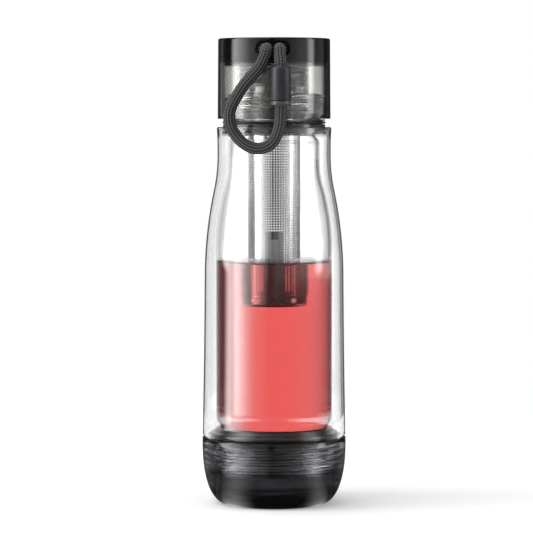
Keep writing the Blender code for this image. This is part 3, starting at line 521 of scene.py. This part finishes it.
# The core cushion: the dark silicone dish that the glass core stands in. Its sloping skirt ends in a rim on the
# ledge inside the shell's foot.
cushion_seat = [(10.5 * math.sin(a) + 19.6, 35.6 + 10.8 * (1 - math.cos(a))) for a in [i * 0.0906 for i in range(11)]]
cushion = spun(
    "core_cushion_dark",
    [
        (0, 35.6),
        *cushion_seat,
        (28.3, 39.9),
        (29.4, 39.3),
        (30.6, 38.2),
        (31.4, 37.3),
        (31.8, 37.35),
        (32.3, 37.2),
        (32.7, 36.8),
        (32.93, 36.2),
        (32.95, 35.3),
        (30.7, 35.3),
        (30.7, 33.3),
        (0, 33.3),
    ],
    closed=False,
)
ease_edges(cushion, 0.3, 3, 40)
dark_silicone, _, shader = dull_stuff("dark_silicone", (0.032, 0.032, 0.034), 0.2)
shader.inputs["Coat Weight"].default_value = 0.3
cushion.data.materials.append(dark_silicone)
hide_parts("core_cushion")
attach(cushion, "bottle")


# The glass core: a blown bottle of clear glass inside the shell, which holds the tea. It hangs by its narrow mouth
# in the collar and stands in the cushion, with air all round it.
core_corner = (19.3, 46.4)
core_side = [
    (29.8, 46.8),
    (29.8, 130.5),
    *sweep_in((29.8, 131.1), 163.5, (23.5, 174.7)),
    *sweep_in((23.5, 184.5), 189.5, (17.9, 196.0), 8),
]
core = spun(
    "glass_core_blown",
    [
        (0, 37.7),
        *quarter_round(core_corner, 8.7, 12),
        *[(r - 1.8, z) for r, z in core_side],
        (16.1, 220.7),
        (16.6, 221.2),
        (17.4, 221.2),
        (17.9, 220.7),
        *reversed(core_side),
        *reversed(quarter_round(core_corner, 10.5, 12)),
        (0, 35.9),
    ],
    closed=False,
)
ease_edges(core, 0.2)
core_glass = clear_stuff("core_glass", (0.985, 0.99, 0.99), 1.47, wave=45.0, rough=0.0, scuffs=0.0)[0]
core.data.materials.append(core_glass)
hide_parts("glass_core")
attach(core, "bottle")


# The tea: red fruit tea that fills the lower half of the glass. It wets the wall, so its edge climbs a little, and
# its side is sunk a hair into the glass so that light bends as it does from glass into water.
tea = spun(
    "tea_fill",
    [
        (0, 123.9),
        (24.5, 123.9),
        (26.2, 124.0),
        (27.2, 124.3),
        (27.8, 124.8),
        (28.15, 125.4),
        (28.15, 46.8),
        *reversed(quarter_round(core_corner, 8.85, 12)),
        (0, 37.55),
    ],
    closed=False,
)
bpy.ops.object.shade_smooth_by_angle(angle=math.radians(40))
tea_red, tea_tree, _ = clear_stuff("tea_red", (1, 1, 1), 1.33, wave=30.0, rough=0.0, scuffs=0.0, depth=0.01)
tint_through(tea_tree, (0.965, 0.025, 0.0), 39)
tea.data.materials.append(tea_red)
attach(tea, "bottle")


# The neck collar: a clear ring in the shell's neck, with a flange under the shell's lip, a groove for its ring seal
# and the lid's screw thread above. It is bonded to the shell, and its foot, up to the groove, shows dark.
collar = spun(
    "neck_collar_clear",
    [
        (23.2, 210.7),
        (23.8, 210.1),
        *rows(23.8, 209.9, 197.3, 0.2),
        (26.15, 197.3),
        (26.15, 196.6),
        (24.85, 196.6),
        (24.85, 194.8),
        (26.15, 194.8),
        (26.15, 191.5),
        (26.95, 191.5),
        (26.95, 190.2),
        (21.6, 190.2),
        (21.6, 209.2),
        (18.2, 209.2),
        (18.2, 210.7),
    ],
)
raise_thread(collar, wall_r=23.8, crest_r=24.55, pitch=lid_pitch, start=199.2, turns=2.25, foot=1.5, crest=0.7)
ease_edges(collar, 0.2)
collar_plastic, collar_tree, shader = clear_stuff("collar_plastic", (0.96, 0.96, 0.955), 1.54, rough=0.1, scuffs=0.06)
shade_by_height(collar_tree, shader, 194.9, 195.6, (0.1, 0.1, 0.105), (0.96, 0.96, 0.955))
collar.data.materials.append(collar_plastic)
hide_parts("neck_collar")
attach(collar, "bottle")


# The neck bush: a sleeve of milky silicone, slid over the glass neck, that holds it in the collar.
bush = spun(
    "neck_bush_milky",
    [
        (21.3, 208.9),
        (21.3, 204.0),
        (20.7, 203.5),
        (20.7, 201.5),
        (21.3, 201.0),
        (21.3, 196.3),
        (18.2, 196.3),
        (18.2, 208.9),
    ],
)
ease_edges(bush, 0.3)
bush.data.materials.append(clear_stuff("frosted_silicone", (0.9, 0.9, 0.89), 1.41, rough=0.25, scuffs=0.1)[0])
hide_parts("neck_bush")
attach(bush, "bottle")


# The neck ring seal: a dark silicone ring in the collar's groove. It shows as the dark line between shell and lid.
neck_ring = spun(
    "neck_ring_dark",
    [(26.1, 196.3), (26.4, 195.95), (26.4, 195.45), (26.1, 195.1), (25.15, 195.1), (25.15, 196.3)],
)
ease_edges(neck_ring, 0.15)
neck_ring.data.materials.append(dull_stuff("dark_ring_silicone", (0.02, 0.02, 0.022), 0.38)[0])
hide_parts("neck_ring_seal")
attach(neck_ring, "bottle")


# The infuser tube: a sheet of stainless steel with punched holes in straight rows, rolled and welded to a tube.
# A plain strip with a matt patch is left low on its front, and the tube ends in plain bands and a rolled bead.
hole_count, hole_rows = 62, 61
tube_r, tube_low, tube_high = 13.05 * mm, 107.4 * mm, 187.3 * mm
strip_half, strip_top = 4.55 * mm, 140.2 * mm
cell_wide, cell_high = 2 * math.pi * tube_r / hole_count, (tube_high - tube_low) / hole_rows
bpy.ops.object.select_all(action="DESELECT")
bpy.ops.mesh.primitive_circle_add(vertices=8, radius=0.49 * mm, rotation=(math.pi / 2, 0, 0))
tube = bpy.context.object
tube.name = tube.data.name = "infuser_tube_punched"
bpy.ops.object.transform_apply(location=True, rotation=True, scale=True)
bpy.ops.object.mode_set(mode="EDIT")
bpy.ops.transform.rotate(value=math.pi / 8, orient_axis="Y", center_override=(0, 0, 0))
bpy.ops.mesh.select_all(action="DESELECT")
bpy.ops.mesh.primitive_plane_add(size=mm, rotation=(math.pi / 2, 0, 0))
bpy.ops.transform.resize(value=(cell_wide / mm, 1, cell_high / mm), center_override=(0, 0, 0))
bpy.ops.mesh.delete(type="ONLY_FACE")
bpy.ops.mesh.select_all(action="SELECT")
bpy.ops.mesh.bridge_edge_loops()
bpy.ops.object.mode_set(mode="OBJECT")
for count, offset in ((hole_count, (cell_wide, 0, 0)), (hole_rows, (0, 0, cell_high))):
    bpy.ops.object.modifier_add(type="ARRAY")
    array = tube.modifiers[-1]
    array.count = count
    array.use_relative_offset = False
    array.use_constant_offset = True
    array.constant_offset_displace = offset
    array.use_merge_vertices = True
    array.merge_threshold = 0.01 * mm
    bpy.ops.object.modifier_apply(modifier=array.name)
first_turn = -math.pi / 2 - (hole_count // 2) * 2 * math.pi / hole_count
for v in tube.data.vertices:
    angle = first_turn + v.co.x / tube_r
    v.co = (tube_r * math.cos(angle), tube_r * math.sin(angle), v.co.z + tube_low + cell_high / 2)
bpy.ops.object.mode_set(mode="EDIT")
bpy.ops.mesh.select_all(action="SELECT")
bpy.ops.mesh.remove_doubles(threshold=0.02 * mm)
bpy.ops.mesh.select_all(action="DESELECT")
sheet = bmesh.from_edit_mesh(tube.data)
for v in sheet.verts:
    strip = v.co.y < 0 and abs(v.co.x) < strip_half and v.co.z < strip_top
    v.select_set(strip and v.co.z > tube_low + 0.1 * mm)
sheet.select_flush_mode()
bpy.ops.mesh.fill_holes(sides=8)


def pull_edge(edge_z, new_z, widen=0.0):
    """Draws the tube's open edge at one height up or down to another, and widens it there."""
    sheet = bmesh.from_edit_mesh(tube.data)
    bpy.ops.mesh.select_all(action="DESELECT")
    for e in sheet.edges:
        if e.is_boundary and all(abs(v.co.z - edge_z) < 0.02 * mm for v in e.verts):
            e.select_set(True)
    bpy.ops.mesh.extrude_edges_move(TRANSFORM_OT_translate={"value": (0, 0, new_z - edge_z)})
    grown = 1 + widen / tube_r
    bpy.ops.transform.resize(value=(grown, grown, 1), center_override=(0, 0, 0))


foot_end, neck_end, bead_start, bead_end = 106.7 * mm, 221.7 * mm, 222.1 * mm, 222.2 * mm
pull_edge(tube_low, foot_end)
pull_edge(tube_high, neck_end)
pull_edge(neck_end, bead_start, 0.4 * mm)
pull_edge(bead_start, bead_end, 1.0 * mm)
bpy.ops.mesh.select_all(action="SELECT")
bpy.ops.mesh.normals_make_consistent(inside=False)
bpy.ops.object.mode_set(mode="OBJECT")
bpy.ops.object.modifier_add(type="SOLIDIFY")
tube.modifiers[-1].thickness = 0.4 * mm
tube.modifiers[-1].offset = -1.0
bpy.ops.object.modifier_apply(modifier=tube.modifiers[-1].name)
bpy.ops.object.shade_smooth_by_angle(angle=math.radians(40))


def steel(name, color, rough, along):
    """Stainless steel with the fine brushed lines of rolled sheet. along is how far lines stretch, by axis."""
    material = bpy.data.materials.new(name)
    material.use_nodes = True
    tree = material.node_tree
    shader = tree.nodes["Principled BSDF"]
    place = add_node(tree, "ShaderNodeTexCoord").outputs["Object"]
    stretched = add_node(tree, "ShaderNodeMapping", {"Vector": place, "Scale": along}).outputs["Vector"]
    lines = add_node(tree, "ShaderNodeTexNoise", {"Vector": stretched, "Scale": 1.0, "Detail": 3.0}).outputs["Fac"]
    cloud = add_node(tree, "ShaderNodeTexNoise", {"Vector": place, "Scale": 120.0, "Detail": 2.0}).outputs["Fac"]
    shade = add_node(tree, "ShaderNodeValToRGB", {"Fac": cloud})
    shade.color_ramp.elements[0].color = (*[c * 0.92 for c in color], 1)
    shade.color_ramp.elements[1].color = (*[min(1, c * 1.06) for c in color], 1)
    tree.links.new(shade.outputs["Color"], shader.inputs["Base Color"])
    tree.links.new(fade(tree, lines, 0.3, 0.7, rough - 0.05, rough + 0.08), shader.inputs["Roughness"])
    bump = add_node(tree, "ShaderNodeBump", {"Height": lines, "Strength": 0.03, "Distance": 0.05 * mm})
    tree.links.new(bump.outputs["Normal"], shader.inputs["Normal"])
    shader.inputs["Metallic"].default_value = 1.0
    return material


strainer_steel = steel("strainer_steel", (0.8, 0.8, 0.8), 0.09, (3000, 3000, 900))
tube_tree = strainer_steel.node_tree
shader = tube_tree.nodes["Principled BSDF"]
place = place_in(tube_tree)
blasted = product(
    tube_tree,
    fade(tube_tree, reckon(tube_tree, "ABSOLUTE", place["X"]), 1.6 * mm, 2.2 * mm, 1.0, 0.0),
    fade(tube_tree, place["Y"], -2.0 * mm, 0.0, 1.0, 0.0),
    fade(tube_tree, place["Z"], 136.0 * mm, 136.4 * mm, 1.0, 0.0),
)
rough = reckon(tube_tree, "MULTIPLY_ADD", blasted, 0.35, shader.inputs["Roughness"].links[0].from_socket)
tube_tree.links.new(rough, shader.inputs["Roughness"])
tube.data.materials.append(strainer_steel)
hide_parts("infuser_tube")
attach(tube, "infuser")


# The infuser foot: a cap of pressed steel that closes the tube's lower end. Its spigot goes up into the tube.
foot = spun(
    "infuser_foot_steel",
    [
        (0, 102.7),
        (11.2, 102.7),
        (11.75, 103.3),
        (11.75, 108.6),
        (12.25, 108.6),
        (12.25, 106.4),
        (13.05, 106.4),
        *reversed(quarter_round((11.55, 103.4), 1.5, 8)),
        (0, 101.9),
    ],
    96,
    closed=False,
)
ease_edges(foot, 0.1)
foot.data.materials.append(steel("foot_steel", (0.6, 0.6, 0.605), 0.2, (900, 900, 2500)))
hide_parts("infuser_foot")
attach(foot, "infuser")


# The infuser rim: a ring of pale translucent plastic that rests on the glass mouth. The tube's bead lies in its seat,
# and a groove round its spigot holds the wiping seal.
rim = spun(
    "infuser_rim_pale",
    [
        (17.9, 223.0),
        (17.9, 221.5),
        (15.8, 221.5),
        (15.8, 218.2),
        (14.8, 218.2),
        (14.8, 215.7),
        (15.8, 215.7),
        (15.8, 214.0),
        (13.35, 214.0),
        (13.35, 221.8),
        (14.85, 221.8),
        (14.85, 223.0),
    ],
    96,
)
ease_edges(rim, 0.2)
pale_plastic, _, shader = clear_stuff("rim_plastic", (0.88, 0.88, 0.86), 1.5, rough=0.12, scuffs=0.06)
shader.inputs["Transmission Weight"].default_value = 0.6
rim.data.materials.append(pale_plastic)
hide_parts("infuser_rim")
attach(rim, "infuser")


# The infuser seal: a pale silicone ring in the rim's groove, with two lips that wipe the bore of the glass mouth.
wiper = spun(
    "infuser_seal_pale",
    [
        (15.88, 217.9),
        (15.88, 217.5),
        (15.5, 217.2),
        (15.5, 216.7),
        (15.88, 216.4),
        (15.88, 216.0),
        (15.1, 216.0),
        (15.1, 217.9),
    ],
    96,
)
ease_edges(wiper, 0.1)
wiper.data.materials.append(dull_stuff("pale_silicone", (0.55, 0.55, 0.54), 0.45)[0])
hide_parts("infuser_seal")
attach(wiper, "infuser")


# The lid gasket: a flat silicone ring that the lid's inner ceiling presses on the infuser's rim.
gasket = spun("lid_gasket_pale", [(17.9, 224.6), (17.9, 223.3), (14.0, 223.3), (14.0, 224.6)], 96)
ease_edges(gasket, 0.3, 3)
gasket.data.materials.append(dull_stuff("gasket_silicone", (0.5, 0.5, 0.49), 0.5)[0])
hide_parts("lid_gasket")
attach(gasket, "gasket")


# The lid liner: the lid's inner cup of clear, lightly frosted plastic. It carries the lid's thread and its ceiling
# closes on the gasket. It is pressed into the smoky cap.
liner = spun(
    "lid_liner_clear",
    [
        (0, 226.2),
        (26.0, 226.2),
        (26.85, 225.4),
        (26.85, 198.0),
        *rows(25.55, 198.0, 211.0, 0.2),
        (25.55, 224.3),
        (25.0, 224.9),
        (0, 224.9),
    ],
    closed=False,
)
raise_thread(liner, wall_r=25.55, crest_r=24.95, pitch=lid_pitch, start=201.2, turns=2.0, foot=1.5, crest=0.7)
ease_edges(liner, 0.2)
liner.data.materials.append(clear_stuff("liner_plastic", (0.95, 0.945, 0.93), 1.5, rough=0.08, scuffs=0.08)[0])
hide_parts("lid_liner")
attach(liner, "lid")


# The lid cap: a smoky plastic cylinder with a flat top and one oblong hole near it for the cord. It is moulded like
# the base cup, and its upper part, round the cord's chamber, is darker.
lid_edge = [(27.75 + 0.9 * math.sin(a), 237.6 + 0.9 * math.cos(a)) for a in [i * math.pi / 12 for i in range(7)]]
lid = spun(
    "lid_cap_smoky",
    [
        (0, 238.5),
        *lid_edge,
        *[(28.65 + 0.25 * i / 12, 237.6 - 40.0 * i / 12) for i in range(1, 13)],
        *[(27.4 - 0.25 * i / 12, 197.6 + 39.4 * i / 12) for i in range(13)],
        (0, 237.0),
    ],
    closed=False,
)
hole_x, hole_r, hole_spread = -0.8 * mm, 4.0 * mm, 4.8 * mm
bpy.ops.mesh.primitive_cylinder_add(
    vertices=40, radius=hole_r, depth=8.0 * mm, location=(hole_x, -28.6 * mm, 232.7 * mm), rotation=(math.pi / 2, 0, 0)
)
cutter = bpy.context.object
bpy.ops.object.transform_apply(location=True, rotation=True, scale=True)
for v in cutter.data.vertices:
    v.co.x += hole_spread if v.co.x > hole_x else -hole_spread
lid.select_set(True)
bpy.context.view_layer.objects.active = lid
bpy.ops.object.modifier_add(type="BOOLEAN")
lid.modifiers[-1].operation = "DIFFERENCE"
lid.modifiers[-1].object = cutter
bpy.ops.object.modifier_apply(modifier=lid.modifiers[-1].name)
bpy.data.objects.remove(cutter)
ease_edges(lid, 0.3, 3)
smoky_lid, lid_tree, shader = clear_stuff("smoky_lid", (0.9, 0.9, 0.9), 1.5, scuffs=0.04)
shade_by_height(lid_tree, shader, 225.4, 226.8, (0.95, 0.95, 0.94), (0.08, 0.08, 0.085))
# Its colour darkens where the wall is seen edge-on. This stands in for the longer path through the smoky wall, and is
# also painted shade along its outline.
facing = add_node(lid_tree, "ShaderNodeLayerWeight", {"Blend": 0.5}).outputs["Facing"]
dim(lid_tree, shader, fade(lid_tree, facing, 0.55, 0.72, 1.0, 0.0))
tint_through(lid_tree, (0.02, 0.0, 0.0), 165)
lid.data.materials.append(smoky_lid)
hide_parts("lid_cap")
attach(lid, "lid")


# The cord post: a dark plastic pin with a flared foot and head, between the liner and the lid's ceiling.
post = spun(
    "cord_post_dark",
    [(0, 226.5), (3.1, 226.5), (2.8, 227.4), (2.7, 228.5), (2.7, 234.6), (2.8, 235.8), (3.1, 236.7), (0, 236.7)],
    48,
    (-0.8, -18.85),
    closed=False,
)
ease_edges(post, 0.15)
post.data.materials.append(dull_stuff("post_plastic", (0.05, 0.05, 0.055), 0.35)[0])
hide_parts("cord_post")
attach(post, "lid")


# The cord: six millimetres thick, braided from charcoal polyester round a core, with a rib for each carrier of the
# braid. Inside the lid it goes round the post; outside it hangs as a loop whose ends meet in the sleeve.
hinge = Vector((0, -32.1, 232.7))
braid_ribs, braid_unit = 12, 100 * mm
free_route = [
    (-3.85, 0.0, 0.0),
    (-4.9, 0.2, -3.6),
    (-7.7, 0.4, -9.5),
    (-11.7, 0.2, -14.1),
    (-15.9, -0.3, -19.2),
    (-20.2, -1.1, -26.3),
    (-22.2, -1.5, -31.2),
    (-22.4, -1.5, -36.0),
    (-21.0, -1.3, -40.7),
    (-17.2, -0.6, -45.8),
    (-12.7, 0.1, -49.0),
    (-8.0, 0.5, -50.0),
    (-3.4, 0.7, -48.8),
    (0.0, 0.9, -45.6),
    (2.0, 1.2, -40.7),
    (2.9, 1.7, -36.0),
    (3.2, 2.3, -31.2),
    (3.2, 2.5, -28.4),
    (3.2, 2.5, -18.0),
    (3.2, 2.5, -8.6),
    (2.8, 1.5, -4.2),
    (2.55, 0.0, 0.0),
]
bight_route = [
    (-3.85, 0.0, 0.0),
    (-3.85, -3.35, 0.0),
    (-4.4, -5.6, 0.0),
    (-6.2, -9.0, -0.3),
    (-6.9, -13.2, -0.5),
    (-5.1, -17.5, -0.5),
    (-0.8, -19.4, -0.5),
    (3.5, -17.5, -0.5),
    (5.3, -13.2, -0.5),
    (4.6, -9.0, -0.3),
    (3.1, -5.6, 0.0),
    (2.55, -3.35, 0.0),
    (2.55, 0.0, 0.0),
]


def cord_line(route, spacing=0.5):
    """Points close together on one smooth line along a route, given right of, in front of and above the hinge."""
    points = [hinge + Vector((x, -y, z)) for x, y, z in route]
    ends = [2 * points[0] - points[1], *points, 2 * points[-1] - points[-2]]
    line = []
    for before, a, b, after in zip(ends, ends[1:], ends[2:], ends[3:]):
        steps = max(2, round((b - a).length / spacing))
        for i in range(steps):
            t = i / steps
            bend = (2 * before - 5 * a + 4 * b - after) * t * t + (3 * a - before - 3 * b + after) * t**3
            line.append((a + ((b - before) * t + bend) / 2) * mm)
    return line + [points[-1] * mm]


def braided(name, line, radius=3.0, sides=60):
    """A braided cord along a line, with raised ribs and domed ends. Its UV is the share of the way round it, and the
    distance along it in units of 100 mm."""
    tangents = [(b - a).normalized() for a, b in zip([line[0]] + line[:-1], line[1:] + [line[-1]])]
    across = tangents[0].cross(Vector((0, 1, 0))).normalized()
    rings = []
    for k in range(6, 0, -1):
        dome = math.pi / 2 * k / 6
        rings.append((line[0] - tangents[0] * radius * mm * math.sin(dome), tangents[0], max(0.02, math.cos(dome))))
    rings += [(p, t, 1.0) for p, t in zip(line, tangents)]
    for k in range(1, 7):
        dome = math.pi / 2 * k / 6
        rings.append((line[-1] + tangents[-1] * radius * mm * math.sin(dome), tangents[-1], max(0.02, math.cos(dome))))
    mesh = bmesh.new()
    uv = mesh.loops.layers.uv.new("braid")
    made, along, last = [], [], None
    for point, tangent, share in rings:
        across = (across - tangent * across.dot(tangent)).normalized()
        up = tangent.cross(across)
        ring = []
        for i in range(sides):
            angle = 2 * math.pi * i / sides
            swell = 1 - 0.09 * (0.5 + 0.5 * math.cos(braid_ribs * angle)) ** 2
            out = across * math.cos(angle) + up * math.sin(angle)
            ring.append(mesh.verts.new(point + out * radius * mm * share * swell))
        made.append(ring)
        along.append(0.0 if last is None else along[-1] + (point - last).length)
        last = point
    for (ring, ahead), (start, end) in zip(zip(made, made[1:]), zip(along, along[1:])):
        for i in range(sides):
            j = (i + 1) % sides
            face = mesh.faces.new((ring[i], ring[j], ahead[j], ahead[i]))
            face.smooth = True
            for loop, (u, v) in zip(face.loops, ((i, start), (i + 1, start), (i + 1, end), (i, end))):
                loop[uv].uv = (u / sides, v / braid_unit)
    for ring in (made[0], made[-1]):
        mesh.faces.new(ring)
    bmesh.ops.recalc_face_normals(mesh, faces=mesh.faces)
    data = bpy.data.meshes.new(name)
    mesh.to_mesh(data)
    mesh.free()
    piece = bpy.data.objects.new(name, data)
    bpy.context.scene.collection.objects.link(piece)
    return piece


braid = bpy.data.materials.new("braided_cord")
braid.use_nodes = True
braid_tree = braid.node_tree
shader = braid_tree.nodes["Principled BSDF"]
round_along = add_node(braid_tree, "ShaderNodeUVMap", uv_map="braid").outputs["UV"]
round_along = add_node(braid_tree, "ShaderNodeSeparateXYZ", {"Vector": round_along}).outputs
column = reckon(braid_tree, "MULTIPLY", round_along["X"], braid_ribs)
within = reckon(braid_tree, "FRACT", column)
crown = reckon(braid_tree, "SINE", reckon(braid_tree, "MULTIPLY", within, math.pi))
odd = reckon(braid_tree, "MODULO", reckon(braid_tree, "FLOOR", column), 2.0)
slant = product(braid_tree, reckon(braid_tree, "MULTIPLY_ADD", odd, 2.0, -1.0), within)
strand = reckon(braid_tree, "MULTIPLY_ADD", round_along["Y"], 75.0, slant)
yarn = reckon(braid_tree, "ABSOLUTE", reckon(braid_tree, "SINE", reckon(braid_tree, "MULTIPLY", strand, math.pi)))
fuzz = add_node(
    braid_tree,
    "ShaderNodeTexNoise",
    {"Vector": add_node(braid_tree, "ShaderNodeTexCoord").outputs["Object"], "Scale": 2600.0, "Detail": 3.0},
).outputs["Fac"]
# The colour follows the relief: the ribs' crowns are painted lighter and the creases between strands darker, as painted
# highlight and painted shade.
relief = reckon(braid_tree, "MULTIPLY", crown, yarn)
shade = add_node(braid_tree, "ShaderNodeValToRGB", {"Fac": reckon(braid_tree, "MULTIPLY_ADD", fuzz, 0.35, relief)})
shade.color_ramp.elements[0].color = (0.009, 0.0085, 0.01, 1)
shade.color_ramp.elements[0].position = 0.6
shade.color_ramp.elements[1].color = (0.15, 0.14, 0.155, 1)
shade.color_ramp.elements[1].position = 1.0
braid_tree.links.new(shade.outputs["Color"], shader.inputs["Base Color"])
bump = add_node(braid_tree, "ShaderNodeBump", {"Height": relief, "Strength": 0.7, "Distance": 0.12 * mm})
braid_tree.links.new(bump.outputs["Normal"], shader.inputs["Normal"])
shader.inputs["Roughness"].default_value = 0.72
shader.inputs["Sheen Weight"].default_value = 0.03
shader.inputs["Sheen Roughness"].default_value = 0.4

loop_line = cord_line(free_route)
loop = braided("cord_loop_braided", loop_line)
loop.data.materials.append(braid)
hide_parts("lanyard_cord")
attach(loop, "lanyard")
bight = braided("cord_bight_braided", cord_line(bight_route))
bight.data.materials.append(braid)
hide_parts("cord_bight")
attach(bight, "lid")


# The sleeve: a moulded rubber tube, slightly wider at its foot, that holds the cord's two ends together, with a
# satin rim band round its lower end. Both grip the cord.
sleeve_spot = (3.2, -34.6)
sleeve = spun(
    "cord_sleeve_rubber",
    [
        (3.35, 224.1),
        (3.7, 224.1),
        (4.2, 223.85),
        (4.7, 223.35),
        (4.95, 222.7),
        (5.02, 221.8),
        (5.24, 207.0),
        (5.2, 206.8),
        (3.35, 206.8),
    ],
    72,
    sleeve_spot,
)
ease_edges(sleeve, 0.12)
sleeve.data.materials.append(dull_stuff("sleeve_rubber", (0.022, 0.022, 0.027), 0.42)[0])
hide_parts("cord_sleeve")
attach(sleeve, "lanyard")
band = spun(
    "sleeve_band_rubber",
    [(4.9, 206.5), (5.0, 206.0), (5.25, 205.4), (5.25, 204.7), (4.9, 204.3), (3.35, 204.3), (3.35, 206.5)],
    72,
    sleeve_spot,
)
ease_edges(band, 0.12)
band.data.materials.append(dull_stuff("band_rubber", (0.06, 0.06, 0.066), 0.28)[0])
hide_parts("sleeve_band")
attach(band, "lanyard")
